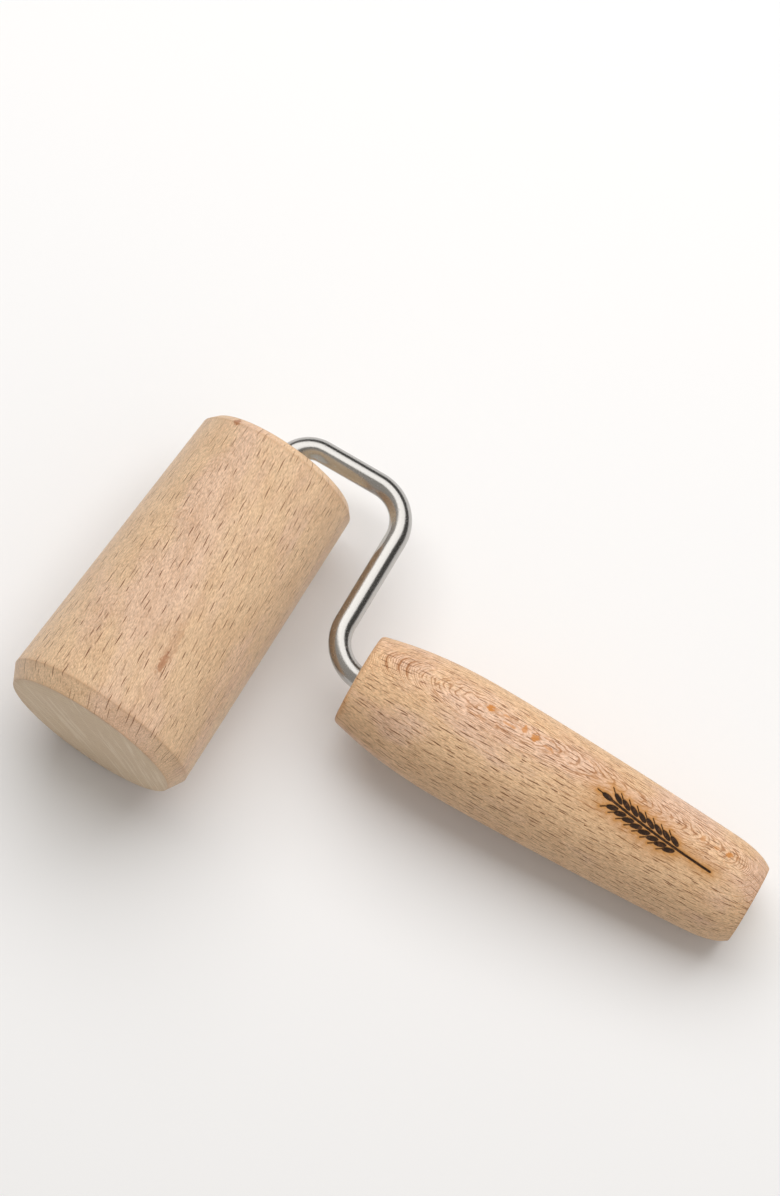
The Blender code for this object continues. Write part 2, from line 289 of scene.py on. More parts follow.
def tool_plane(record):
    """The tool's own plane: origin where the axle leaves the barrel, X along the handle, Z up out of it."""
    joint = record["behaviour"]["joints"][0]
    tail = next(mount for mount in record["mounts"] if mount["name"] == "handle_tail_face")
    axle = Vector(joint["axis"]).normalized()
    along = Vector(tail["axis"]).normalized()
    across = (axle - along * axle.dot(along)).normalized()
    turn = Matrix((along, across, along.cross(across))).transposed()
    return Matrix.Translation(joint["pos_m"]) @ turn.to_4x4()


def axis_frame(origin, axis, side):
    """A frame whose Z is the axis and whose X points to the side."""
    z = Vector(axis).normalized()
    x = (Vector(side) - z * z.dot(Vector(side))).normalized()
    return Matrix.Translation(origin) @ Matrix((x, z.cross(x), z)).transposed().to_4x4()


def handle_place(frame, plane):
    """The handle's frame: it starts at the nose, with Z along the handle, X across it and Y on top."""
    tail = next(mount for mount in frame["record"]["mounts"] if mount["name"] == "handle_tail_face")
    along = Vector(tail["axis"]).normalized()
    end = Vector(tail["pos_m"])
    length = max((end - vertex.co).dot(along) for vertex in frame["nodes"]["handle"].data.vertices)
    return axis_frame(end - along * length, along, plane.to_3x3() @ Vector((0, 1, 0)))


def outline(node, place):
    """(radius, height) of a turned node's outside, from its top down."""
    inverse = place.inverted()
    rings = {}
    for vertex in node.data.vertices:
        point = inverse @ vertex.co
        radius = math.hypot(point.x, point.y)
        if radius > OUTSIDE_R:
            height = round(point.z, 5)
            rings[height] = max(radius, rings.get(height, 0.0))
    return [(rings[height], height) for height in sorted(rings, reverse=True)]


# Meshes


def softened(points, radius):
    """The (radius, height) outline with its corners rounded, apart from its two ends."""
    path = [Vector(points[0])]
    for before, corner, after in zip(points, points[1:], points[2:]):
        corner = Vector(corner)
        arrive = corner - Vector(before)
        leave = Vector(after) - corner
        turn = arrive.angle(leave)
        if turn < SLIGHT_TURN:
            path.append(corner)
            continue
        room = min(arrive.length, leave.length) / CORNER_ROOM
        reach = min(radius * math.tan(turn / 2), room)
        start = corner - arrive.normalized() * reach
        end = corner + leave.normalized() * reach
        for step in range(WORN_STEPS + 1):
            share = step / WORN_STEPS
            path.append(start.lerp(corner, share).lerp(corner.lerp(end, share), share))
    path.append(Vector(points[-1]))
    return path


def eased(path):
    """The path with its facets smoothed and its sharp turns kept."""
    for _ in range(EASING_ROUNDS):
        middle = []
        for a, b, c in zip(path, path[1:], path[2:]):
            sharp = (b - a).angle(c - b) > SHARP_TURN
            middle.append(b if sharp else (a + 2 * b + c) / 4)
        path = [path[0], *middle, path[-1]]
    return path


def divided(path, longest):
    """The path with its steps divided evenly, so that none is longer than longest(its ends) allows."""
    out = [path[0]]
    for a, b in zip(path, path[1:]):
        count = max(1, math.ceil((b - a).length / longest(a, b)))
        out += [a.lerp(b, (i + 1) / count) for i in range(count)]
    return out


def new_object(name, vertices, faces, place):
    """A smooth closed mesh, given in the place's coordinates and kept in the shared frame's."""
    mesh = bpy.data.meshes.new(name)
    mesh.from_pydata(vertices, [], faces)
    mesh.transform(place)
    shape = bmesh.new()
    shape.from_mesh(mesh)
    bmesh.ops.recalc_face_normals(shape, faces=shape.faces)
    shape.to_mesh(mesh)
    shape.free()
    mesh.shade_smooth()
    mesh.set_sharp_from_angle(angle=SHARP_EDGE)
    made = bpy.data.objects.new(name, mesh)
    bpy.context.scene.collection.objects.link(made)
    return made


def turned(name, path, angles, place, shift=None):
    """A closed turned mesh about the place's Z.

    A path that starts on the axis ends there too, and any other path is a ring's closed section.
    shift(angles, radius, height) gives how far each point moves outwards."""
    capped = path[0].x == 0
    rows = path[1:-1] if capped else path
    columns = len(angles)
    vertices = []
    for point in rows:
        radii = np.full(columns, point.x)
        if shift is not None:
            radii = radii + shift(angles, point.x, point.y)
        vertices += [(r * math.sin(a), r * math.cos(a), point.y) for r, a in zip(radii, angles)]
    starts = [row * columns for row in range(len(rows))]
    pairs = list(zip(starts, starts[1:]))
    if not capped:
        pairs.append((starts[-1], 0))
    faces = []
    for i in range(columns):
        j = (i + 1) % columns
        faces += [(upper + i, upper + j, lower + j, lower + i) for upper, lower in pairs]
        if capped:
            faces.append((len(vertices), i, j))
            faces.append((len(vertices) + 1, starts[-1] + j, starts[-1] + i))
    if capped:
        vertices += [(0.0, 0.0, path[0].y), (0.0, 0.0, path[-1].y)]
    return new_object(name, vertices, faces, place)


def even_angles(columns):
    """Angles of the columns, evenly round a full turn."""
    return np.arange(columns) * 2 * math.pi / columns


def rim_attribute(made, place, corners):
    """Stores how near each point is to a turned corner: 1 at the corner, and less away from it."""
    inverse = place.inverted()
    points = np.array([inverse @ vertex.co for vertex in made.data.vertices])
    radii = np.hypot(points[:, 0], points[:, 1])
    distances = [np.hypot(radii - radius, points[:, 2] - height) for radius, height in corners]
    values = np.exp(-np.min(distances, axis=0) / RIM_REACH)
    attribute = made.data.attributes.new("rim", "FLOAT", "POINT")
    attribute.data.foreach_set("value", values.astype(np.float32))


def barrel_mesh(node, place):
    """The tapered barrel with worn corners, a bored small end and faint turning ripples."""
    outside = outline(node, place)
    bottom = outside[-1][1]
    bore = [
        (BUSH_FLANGE_R + BUSH_GAP, 0.0),
        (BUSH_FLANGE_R + BUSH_GAP, -BUSH_FLANGE - BUSH_GAP),
        (COUNTERBORE_R, -BUSH_FLANGE - BUSH_GAP),
        (COUNTERBORE_R, -COUNTERBORE_DEPTH),
        (BORE_R, -COUNTERBORE_DEPTH),
        (BORE_R, -BORE_DEPTH),
        (0.0, -BORE_DEPTH),
    ]
    profile = softened([*bore[::-1], *outside, (0.0, bottom)], WORN_EDGE)
    path = divided(profile, lambda a, b: BARREL_ROW if min(a.x, b.x) > OUTSIDE_R else BARREL_HIDDEN_ROW)

    def ripple(angles, radius, height):
        if radius < OUTSIDE_R or height > -WORN_EDGE or height < bottom + WORN_EDGE:
            return 0.0 * angles
        wave = np.sin(height / LONG_RIPPLE) + np.sin(height / SHORT_RIPPLE + 2 * np.sin(angles))
        return TOOL_RIPPLE * (0.3 * wave - 0.8)  # always a little inside the frame's own surface

    made = turned("barrel_wood", path, even_angles(BARREL_COLUMNS), place, ripple)
    rim_attribute(made, place, outside)
    return made


def handle_angles():
    """Angles round the handle, close together where the mark is."""
    reach = (MARK_MARGIN + KERNEL_OUT) / MARK_R
    low = MARK_START[1] - reach
    high = MARK_END[1] + reach
    fine = np.linspace(low, high, math.ceil((high - low) * MARK_R / MARK_STEP))
    rest = 2 * math.pi - (high - low)
    coarse = np.linspace(high, high + rest, math.ceil(rest / HANDLE_COLUMN) + 1)[1:-1]
    return np.concatenate([fine, coarse])


def mark_coordinates(angles, heights):
    """Distances along the mark from the foot of its stalk and across it, and the mark's length."""
    turn = (angles + math.pi) % (2 * math.pi) - math.pi
    foot = np.array([MARK_START[0], MARK_START[1] * MARK_R])
    tip = np.array([MARK_END[0], MARK_END[1] * MARK_R])
    length = np.hypot(*(tip - foot))
    ahead = (tip - foot) / length
    from_foot = np.stack([heights - foot[0], turn * MARK_R - foot[1]], axis=-1)
    return from_foot @ ahead, from_foot @ np.array([-ahead[1], ahead[0]]), length


def bar_distance(along, across, start, end, half):
    """Distance outside a bar with round ends, from one (along, across) point to another."""
    run = np.subtract(end, start)
    share = ((along - start[0]) * run[0] + (across - start[1]) * run[1]) / (run @ run)
    share = np.clip(share, 0, 1)
    return np.hypot(along - start[0] - share * run[0], across - start[1] - share * run[1]) - half


def kernel_distance(along, across, centre, tilt):
    """Distance outside a kernel, an ellipse tilted from the stalk."""
    u = (along - centre[0]) * math.cos(tilt) + (across - centre[1]) * math.sin(tilt)
    v = (across - centre[1]) * math.cos(tilt) - (along - centre[0]) * math.sin(tilt)
    return (np.hypot(u / KERNEL_HALF[0], v / KERNEL_HALF[1]) - 1) * KERNEL_HALF[1]


def mark_distance(along, across, length):
    """Distance outside an ear of wheat: a stalk, pairs of kernels with awns, and one kernel at the tip."""
    top = length - KERNEL_HALF[0] - AWN_LENGTH / 2
    across = across - STALK_BEND * np.sin(along / length * math.pi)
    shapes = [bar_distance(along, across, (0.0, 0.0), (top, 0.0), STALK_HALF)]
    shapes.append(kernel_distance(along, across, (top, 0.0), 0.0))
    shapes.append(bar_distance(along, across, (top, 0.0), (length, 0.0), AWN_HALF))
    for pair in range(1, KERNEL_PAIRS + 1):
        place = top - pair * KERNEL_PITCH
        for side in (1, -1):
            centre = (place, side * KERNEL_OUT)
            tip = centre + KERNEL_HALF[0] * np.array([math.cos(KERNEL_TILT), side * math.sin(KERNEL_TILT)])
            awn_tip = tip + AWN_LENGTH / 2 * np.array([math.cos(AWN_TILT), side * math.sin(AWN_TILT)])
            shapes.append(kernel_distance(along, across, centre, side * KERNEL_TILT))
            shapes.append(bar_distance(along, across, tip, awn_tip, AWN_HALF))
    return np.min(shapes, axis=0)


def burn(angles, heights):
    """How deep the mark is burned, from 0 to 1, and the distance outside it."""
    along, across, length = mark_coordinates(angles, heights)
    distance = mark_distance(along, across, length)
    return np.clip(0.5 - distance / BURN_EDGE, 0, 1), distance


def handle_mesh(node, place):
    """The turned handle with the wheat ear burned into it."""
    bore = WIRE_R + BUSH_GAP
    outside = [Vector(point) for point in outline(node, place)]
    rims = (outside[0], outside[-1])
    outside = eased(divided(outside, lambda a, b: HANDLE_ROW))
    bore_end = TANG_DEPTH + BUSH_GAP
    profile = [(0.0, outside[0].y), *outside, (bore, 0.0), (bore, bore_end), (0.0, bore_end)]
    low = MARK_END[0] - MARK_MARGIN
    high = MARK_START[0] + MARK_MARGIN

    def longest(a, b):
        if min(a.x, b.x) < OUTSIDE_R:
            return HANDLE_HIDDEN_ROW
        return MARK_STEP if low < (a.y + b.y) / 2 < high else HANDLE_ROW

    path = divided(softened(profile, WORN_EDGE), longest)

    def shift(angles, radius, height):
        if radius < OUTSIDE_R or not low < height < high:
            return 0.0 * angles
        return -BURN_DEPTH * burn(angles, np.full(len(angles), height))[0]

    made = turned("handle_wood", path, handle_angles(), place, shift)
    rim_attribute(made, place, rims)
    inverse = place.inverted()
    points = np.array([inverse @ vertex.co for vertex in made.data.vertices])
    on_surface = np.hypot(points[:, 0], points[:, 1]) > OUTSIDE_R - BURN_DEPTH
    depth, distance = burn(np.arctan2(points[:, 0], points[:, 1]), points[:, 2])
    scorch = np.exp(-np.clip(distance, 0, None) / SCORCH_REACH)
    for name, values in (("burn", depth), ("scorch", scorch)):
        attribute = made.data.attributes.new(name, "FLOAT", "POINT")
        attribute.data.foreach_set("value", (values * on_surface).astype(np.float32))
    return made


def wire_route(axle):
    """(point, tangent, share of a bend) along the wire in the tool's plane, to the end of its last bend."""
    tip = -axle * AXLE_DEPTH
    rise = CRANK_RISE / axle.y
    corners = [
        tip,
        axle * rise,
        Vector((CRANK_REACH, CRANK_RISE, 0)),
        Vector((CRANK_REACH, -HANDLE_DROP, 0)),
    ]
    corners.append(corners[-1] + Vector((CRANK_BEND_R, 0, 0)))
    route = []
    start = tip
    radii = (EXIT_BEND_R, CRANK_BEND_R, CRANK_BEND_R)
    for before, corner, after, radius in zip(corners, corners[1:], corners[2:], radii):
        arrive = (corner - before).normalized()
        leave = (after - corner).normalized()
        turn = arrive.angle(leave)
        side = (leave - arrive * arrive.dot(leave)).normalized()
        begin = corner - arrive * radius * math.tan(turn / 2)
        route += straight_run(start, begin)
        steps = math.ceil(radius * turn / WIRE_STEP)
        for i in range(steps):
            angle = turn * i / steps
            swing = side * (1 - math.cos(angle)) + arrive * math.sin(angle)
            ahead = arrive * math.cos(angle) + side * math.sin(angle)
            route.append((begin + swing * radius, ahead, math.sin(math.pi * i / steps)))
        start = corner + leave * radius * math.tan(turn / 2)
    return route


def straight_run(start, end):
    """(point, tangent, 0) at even steps from the start, without the end itself."""
    steps = math.ceil((end - start).length / WIRE_STEP)
    ahead = (end - start).normalized()
    return [(start.lerp(end, i / steps), ahead, 0.0) for i in range(steps)]


def wire_mesh(plane, axle, nose):
    """The cranked wire in the tool's plane, with slightly oval bends and a die mark below the upper one."""
    route = wire_route(axle)
    tang_end = nose + Vector((TANG_DEPTH, 0, 0))
    route += straight_run(Vector((CRANK_REACH + CRANK_BEND_R, -HANDLE_DROP, 0)), tang_end)
    route.append((tang_end, Vector((1, 0, 0)), 0.0))
    centres = np.array([tuple(point) for point, _, _ in route])
    distances = np.concatenate([[0], np.cumsum(np.linalg.norm(np.diff(centres, axis=0), axis=1))])
    length = distances[-1]
    bend_foot = Vector((CRANK_REACH, CRANK_RISE - CRANK_BEND_R, 0))
    mark_from = distances[np.argmin(np.linalg.norm(centres - np.array(bend_foot), axis=1))]
    mark_half = DIE_MARK_REACH / 2
    groove_from = length - TIP_CHAMFER - (TANG_GROOVES + 0.5) * TANG_GROOVE_PITCH
    angles = even_angles(WIRE_COLUMNS)
    vertices = []
    coordinates = []
    for (centre, ahead, bend), distance in zip(route, distances):
        side = ahead.cross(Vector((0, 0, 1)))
        radius = WIRE_R - max(0.0, TIP_CHAMFER - min(distance, length - distance))
        if groove_from < distance < length - TIP_CHAMFER:
            phase = (distance - groove_from) / TANG_GROOVE_PITCH % 1.0
            radius -= TANG_GROOVE * max(0.0, 1 - abs(phase - 0.5) * TANG_GROOVE_SHARE)
        dent = DIE_MARK * math.exp(-(((distance - mark_from - mark_half) / mark_half) ** 4))
        for angle in angles:
            off = math.cos(angle - DIE_MARK_SIDE)
            local = radius
            if off > 0:
                local = min(radius, (radius - dent) / off)
            in_plane = math.cos(angle) * (1 - BEND_OVAL * bend)
            place = centre + (side * in_plane + Vector((0, 0, math.sin(angle)))) * local
            vertices.append(tuple(place))
            coordinates.append((math.cos(angle), math.sin(angle), distance / MM))
    rings = len(route)
    faces = []
    for ring in range(rings - 1):
        for i in range(WIRE_COLUMNS):
            j = (i + 1) % WIRE_COLUMNS
            near = ring * WIRE_COLUMNS
            far = near + WIRE_COLUMNS
            faces.append((near + i, near + j, far + j, far + i))
    faces.append(tuple(range(WIRE_COLUMNS)))
    faces.append(tuple(range((rings - 1) * WIRE_COLUMNS, rings * WIRE_COLUMNS)))
    made = new_object("wire_rod", vertices, faces, plane)
    drawn = made.data.attributes.new("drawn", "FLOAT_VECTOR", "POINT")
    drawn.data.foreach_set("vector", np.array(coordinates, np.float32).ravel())
    return made


def bush_mesh(place):
    """The flanged mouth bush, with moulded edges and a shallow dished face."""
    bore = WIRE_R + BUSH_GAP
    body = COUNTERBORE_R - BUSH_GAP
    section = [
        (bore, 0.0),
        (bore + BUSH_LIP, 0.0),
        (bore + BUSH_LIP + BUSH_SLOPE, -BUSH_DISH),
        (BUSH_FLANGE_R - BUSH_LIP, -BUSH_DISH),
        (BUSH_FLANGE_R - BUSH_LIP + BUSH_SLOPE, 0.0),
        (BUSH_FLANGE_R, 0.0),
        (BUSH_FLANGE_R, -BUSH_FLANGE),
        (body, -BUSH_FLANGE),
        (body, -BUSH_LENGTH),
        (bore, -BUSH_LENGTH),
    ]
    path = softened([section[-1], *section, section[0]], BUSH_EDGE)[1:-1]
    return turned("bush_flange", path, even_angles(BUSH_COLUMNS), place)


# Materials


class Nodes:
    """A node tree that is built one node at a time."""

    def __init__(self, tree):
        self.tree = tree

    def add(self, kind, values=None, **settings):
        node = self.tree.nodes.new(kind)
        for name, value in settings.items():
            setattr(node, name, value)
        for socket, value in (values or {}).items():
            self.feed(node.inputs[socket], value)
        return node

    def feed(self, socket, value):
        if isinstance(value, bpy.types.NodeSocket):
            self.tree.links.new(value, socket)
        elif socket.type == "RGBA":
            socket.default_value = (*value, 1.0)
        else:
            socket.default_value = value

    def math(self, operation, a, b=0.0):
        return self.add("ShaderNodeMath", {0: a, 1: b}, operation=operation).outputs[0]

    def plus(self, a, b):
        return self.math("ADD", a, b)

    def minus(self, a, b):
        return self.math("SUBTRACT", a, b)

    def times(self, a, b):
        return self.math("MULTIPLY", a, b)

    def over(self, a, b):
        return self.math("DIVIDE", a, b)

    def line(self, value, slope, start):
        """The start where the value is 0, and the slope more than that where it is 1."""
        return self.plus(self.times(value, slope), start)

    def centred(self, value, spread):
        """A value from 0 to 1, spread evenly about 0 instead."""
        return self.times(self.minus(value, 0.5), spread)

    def vector(self, operation, a, b):
        return self.add("ShaderNodeVectorMath", {0: a, 1: b}, operation=operation).outputs[0]

    def dot(self, a, b):
        return self.add("ShaderNodeVectorMath", {0: a, 1: b}, operation="DOT_PRODUCT").outputs["Value"]

    def join(self, x, y, z):
        return self.add("ShaderNodeCombineXYZ", {0: x, 1: y, 2: z}).outputs[0]

    def step(self, value, low, high):
        """0 at low and 1 at high, with smooth ends. Low may be the larger of the two."""
        values = {"Value": value, "From Min": low, "From Max": high}
        return self.add("ShaderNodeMapRange", values, interpolation_type="SMOOTHSTEP").outputs[0]

    def band(self, value, rise, fall):
        """1 between the rise and the fall, each given as (low, high), and 0 outside them."""
        return self.times(self.step(value, *rise), self.minus(1.0, self.step(value, *fall)))

    def noise(self, vector, detail=2.0, roughness=0.5):
        """Noise from 0 to 1 at one wave a unit."""
        values = {"Vector": vector, "Scale": 1.0, "Detail": detail, "Roughness": roughness}
        return self.add("ShaderNodeTexNoise", values).outputs[0]

    def object_noise(self, waves, detail=2.0, roughness=0.5):
        """Noise in the shared frame, at the given waves a metre."""
        place = self.add("ShaderNodeTexCoord").outputs["Object"]
        return self.noise(self.vector("MULTIPLY", place, waves), detail, roughness)

    def lenses(self, vector, cell, half):
        """Pointed lenses scattered one to a cell, as 0 to 1, some shorter or fainter than others.

        They stand upright in vector's Y, and half is their half width and half height in the unit of the
        cell's sizes."""
        cells = self.add("ShaderNodeTexVoronoi", {"Vector": vector, "Scale": 1.0, "Randomness": 0.9})
        luck = self.add("ShaderNodeSeparateColor", {0: cells.outputs["Color"]}).outputs
        off = self.vector("SUBTRACT", vector, cells.outputs["Position"])
        off = self.add("ShaderNodeSeparateXYZ", {0: off}).outputs
        wide = self.math("ABSOLUTE", self.times(off[0], cell[0] / half[0]))
        tall = self.times(off[1], cell[1] / half[1])
        tall = self.over(tall, self.line(luck[0], 0.65, 0.45))
        inside = self.plus(wide, self.math("POWER", self.math("ABSOLUTE", tall), 2.0))
        faint = self.line(luck[1], 0.7, 0.45)
        return self.times(self.minus(1.0, self.step(inside, 0.55, 1.1)), faint)

    def mix(self, share, a, b, blend="MIX"):
        node = self.add("ShaderNodeMix", data_type="RGBA", blend_type=blend)
        self.feed(node.inputs[0], share)
        self.feed(node.inputs[6], a)
        self.feed(node.inputs[7], b)
        return node.outputs[2]

    def attribute(self, name):
        return self.add("ShaderNodeAttribute", attribute_name=name)

    def bump(self, height, distance):
        values = {"Height": height, "Distance": distance, "Strength": 1.0}
        return self.add("ShaderNodeBump", values).outputs[0]


class Finish(Nodes):
    """A material's nodes."""

    def __init__(self, name):
        self.material = bpy.data.materials.new(name)
        self.material.use_nodes = True
        super().__init__(self.material.node_tree)
        self.shader = self.tree.nodes["Principled BSDF"]

    def set(self, **values):
        """Sets or links the shader's own sockets, whose names have spaces for underscores."""
        for name, value in values.items():
            self.feed(self.shader.inputs[name.replace("_", " ")], value)


class Beech(Finish):
    """Steamed beech, as it grew in a log whose bark lies towards wood["bark"].

    Rays, rings and fibres are solid shapes in the log, so they show as dashes, loops and end lines wherever
    the turned surface cuts them."""

    def __init__(self, name, place, wood):
        super().__init__(name)
        self.wood = wood
        inverse = place.inverted()
        surface = self.add("ShaderNodeTexCoord").outputs
        rows = [row / MM for row in inverse[:3]]
        x, y, self.height = [self.plus(self.dot(surface["Object"], row.xyz), row.w) for row in rows]
        x = self.plus(x, self.times(self.height, wood["lean"]))
        self.point = self.join(x, y, self.height)
        bark = Vector((*wood["bark"], 0)).normalized()
        depth = self.plus(self.times(x, bark.x), self.times(y, bark.y))
        aside = self.minus(self.times(y, bark.x), self.times(x, bark.y))

        # In the log: the layer counts from the piece's axis towards the bark, and across runs along the ring
        outward = self.plus(depth, PITH_DISTANCE)
        squares = self.plus(self.math("POWER", outward, 2.0), self.math("POWER", aside, 2.0))
        self.layer = self.minus(self.math("SQRT", squares), PITH_DISTANCE)
        self.across = self.times(self.over(aside, outward), PITH_DISTANCE)

        # On the piece: the way round it, how far it has turned aside from the bark, and its end grain
        self.way_round = self.times(self.math("ARCTAN2", aside, depth), wood["radius"])
        self.turn = self.math("ABSOLUTE", self.over(aside, wood["radius"]))
        along = self.math("ABSOLUTE", self.dot(surface["Normal"], tuple(inverse[2].xyz)))
        self.end = self.step(along, *END_FACING)

        self.fibre = self.pattern("fibre")
        self.vessels = self.step(self.pattern("vessels"), 0.56, 0.70)

    def pattern(self, name):
        """Noise from 0 to 1, as GRAIN describes it."""
        sizes, offset, detail, roughness = GRAIN[name]
        axes = (self.layer, self.across, self.height)
        shares = []
        for axis, size, shift in zip(axes, sizes, AXIS_SHIFTS):
            shares.append(self.plus(self.over(axis, size), self.wood["seed"] + offset + shift))
        return self.noise(self.join(*shares), detail, roughness)

    def late_wood(self):
        """Late wood closes each year's ring. It is stronger in some years, and broken along the grain."""
        ripple = self.centred(self.pattern("ripple"), self.wood["ripple"])
        wander = self.plus(self.centred(self.pattern("drift"), RING_DRIFT), ripple)
        phase = self.over(self.plus(self.layer, wander), self.wood["ring"])
        year = self.add("ShaderNodeTexWhiteNoise", {"W": self.math("FLOOR", phase)}, noise_dimensions="1D")
        saw = self.math("FRACT", self.plus(phase, 100.0))
        late = self.band(saw, (self.wood["line"], 0.92), (0.93, 1.0))
        late = self.times(late, self.line(year.outputs["Value"], 0.7, 0.3))
        broken = self.step(self.pattern("broken"), 0.40, 0.56)
        return self.times(late, self.line(broken, 0.85, 0.15))

    def rays(self, cell, half, offset):
        """Thin plates that stand straight into the turned surface, where they end in dark dashes."""
        around = self.plus(self.way_round, self.centred(self.pattern("sway"), RAY_SWAY))
        upright = self.over(self.height, cell[1])
        ray = self.join(self.over(around, cell[0]), upright, self.over(self.layer, PITH_DISTANCE))
        offsets = (self.wood["seed"] + offset, self.wood["seed"] - offset, offset)
        return self.lenses(self.vector("ADD", ray, offsets), cell, half)

    def thin_layers(self):
        """Fine arcs and a few bold ones: layers that loop wherever the turned surface runs along them."""
        waver = self.centred(self.pattern("waver"), LAYER_WAVER)
        sheet = self.math("FRACT", self.over(self.plus(self.layer, waver), self.wood["sheet"]))
        arcs = self.band(sheet, (0.42, 0.66), (0.76, 0.94))
        arcs = self.times(arcs, self.step(self.pattern("gaps"), 0.34, 0.56))
        arcs = self.times(arcs, self.step(self.turn, 0.65, 0.25))
        wavy = self.plus(self.layer, self.times(waver, 0.7))
        bold = 0.0
        for level in self.wood["bold"]:
            beside = self.math("ABSOLUTE", self.minus(wavy, level))
            bold = self.math("MAXIMUM", bold, self.step(beside, *BOLD_EDGE))
        near = self.times(self.step(self.turn, *BOLD_TURN), self.step(self.height, *BOLD_HEIGHT))
        return arcs, self.times(bold, near)

    def flank(self, late):
        """The bare wood of the turned surface: drifts of hue, year's rings and fibres."""
        wood = self.wood
        patch = self.plus(self.pattern("patch"), self.times(self.turn, 0.2))
        colour = self.mix(self.step(patch, 0.42, 0.68), wood["pink"], wood["yellow"])
        blotch = self.step(self.pattern("blotch"), 0.40, 0.72)
        colour = self.mix(self.times(blotch, wood["blotch"]), colour, wood["late"])
        colour = self.mix(self.times(late, wood["contrast"]), colour, wood["late"])
        tone = self.plus(self.centred(self.fibre, wood["fibre"]), 1.0)
        tone = self.times(tone, self.plus(self.centred(self.pattern("streak"), 0.22), 1.0))
        return self.mix(1.0, colour, self.join(tone, tone, tone), "MULTIPLY")

    def marked(self, colour, dash):
        """The colour with the vessels, layers and rays that only the turned surface shows."""
        arcs, bold = self.thin_layers()
        speck = self.rays(SPECK_CELL, SPECK, SPECK_PLACE)
        marks = (
            (self.vessels, 0.25, self.wood["late"]),
            (arcs, self.wood["arcs"], LAYER_BROWN),
            (bold, 0.8, LAYER_BROWN),
            (speck, self.wood["speck"], RAY_BROWN),
            (dash, 0.9, RAY_BROWN),
        )
        side = self.minus(1.0, self.end)
        for mask, strength, tint in marks:
            colour = self.mix(self.times(mask, self.times(side, strength)), colour, tint)
        return colour

    def flecked(self, colour):
        """The colour with the flecks that have places of their own."""
        ragged = self.centred(self.pattern("ragged"), 1.5)
        for centre, half, strength in self.wood["flecks"]:
            sheared = (centre[0] + self.wood["lean"] * centre[2], centre[1], centre[2])
            off = self.vector("DIVIDE", self.vector("SUBTRACT", self.point, sheared), half)
            distance = self.plus(self.math("SQRT", self.dot(off, off)), ragged)
            mask = self.times(self.step(distance, 1.1, 0.5), strength)
            colour = self.mix(mask, colour, self.wood["fleck"])
        return colour

    def end_grain(self, late):
        """The end faces: greyer, with paler rays and fine pores."""
        colour = self.mix(self.times(late, 0.40), BEECH_END, BEECH_END_LATE)
        pores = self.step(self.pattern("end_pores"), 0.50, 0.72)
        colour = self.mix(self.times(pores, 0.30), colour, BEECH_END_LATE)
        lines = self.step(self.pattern("end_rays"), 0.49, 0.66)
        return self.mix(self.times(lines, 0.6), colour, BEECH_RAY)


def beech(name, place, wood):
    """A turned piece's beech: satin flanks, raw end grain, rubbed corners and slightly open grain."""
    f = Beech(name, place, wood)
    late = f.late_wood()
    dash = f.rays(wood["dash_cell"], wood["dash"], DASH_PLACE)
    colour = f.flecked(f.marked(f.flank(late), dash))
    colour = f.mix(f.times(f.end, 0.9), colour, f.end_grain(late))
    rubbed = f.times(f.attribute("rim").outputs["Fac"], f.step(f.fibre, 0.35, 0.6))
    colour = f.mix(f.times(rubbed, wood["rim"]), colour, wood["late"])
    open_grain = f.plus(f.times(dash, -0.6), f.times(f.vessels, -0.35))
    height = f.plus(open_grain, f.times(f.fibre, 0.7))
    rough = f.plus(f.line(f.fibre, 0.16, 0.46), f.times(f.end, 0.16))
    f.set(Base_Color=colour, Roughness=rough, Specular_IOR_Level=wood["shine"])
    f.set(Sheen_Weight=wood["sheen"], Sheen_Roughness=SHEEN_ROUGHNESS)
    f.set(Normal=f.bump(height, GRAIN_DEPTH))
    return f


def burned(f):
    """Chars the beech where the mark is burned, and toasts it close by."""
    noise = f.object_noise(CHAR_WAVES, 3.0)
    uneven = f.line(noise, 1.3, 0.35)
    char = f.times(f.attribute("burn").outputs["Fac"], uneven)
    char = f.math("MINIMUM", f.times(char, 1.25), 0.985)
    toast = f.times(f.attribute("scorch").outputs["Fac"], uneven)
    before = f.shader.inputs["Base Color"].links[0].from_socket
    colour = f.mix(f.math("MINIMUM", toast, 0.9), before, SCORCH)
    charred = f.mix(f.step(noise, 0.50, 0.68), CHAR, CHAR_BROWN)
    f.set(Base_Color=f.mix(char, colour, charred))
    return f


def drawn_steel():
    """Bright drawn wire: faint long draw lines, hairline scuffs and a slightly uneven polish."""
    f = Finish("stainless_steel")
    run = f.attribute("drawn").outputs["Vector"]
    lines = f.noise(f.vector("MULTIPLY", run, DRAW_LINES), 4.0, 0.7)
    scuffs = f.step(f.noise(f.vector("MULTIPLY", run, SCUFFS), 3.0, 0.65), 0.56, 0.74)
    clouds = f.noise(f.vector("MULTIPLY", run, CLOUDS), 2.0)
    rough = f.line(lines, 0.16, 0.13)
    rough = f.plus(rough, f.times(scuffs, 0.10))
    rough = f.plus(rough, f.times(clouds, 0.06))
    f.set(Base_Color=f.mix(lines, STEEL_DIM, STEEL_BRIGHT), Metallic=1.0, Roughness=rough)
    f.set(Normal=f.bump(lines, STEEL_RELIEF))
    return f.material


def spring_steel():
    """Dark tempered strip with a bluish oxide and light rubs."""
    f = Finish("spring_steel")
    tint = f.object_noise(OXIDE_WAVES, 3.0)
    rubs = f.step(f.object_noise(RUB_WAVES, 3.0, 0.7), 0.58, 0.74)
    colour = f.mix(tint, OXIDE_BLUE, OXIDE_BROWN)
    colour = f.mix(f.times(rubs, 0.5), colour, OXIDE_RUBBED)
    f.set(Base_Color=colour, Metallic=1.0, Roughness=f.line(tint, 0.2, 0.25))
    f.set(Normal=f.bump(rubs, RUB_RELIEF))
    return f.material


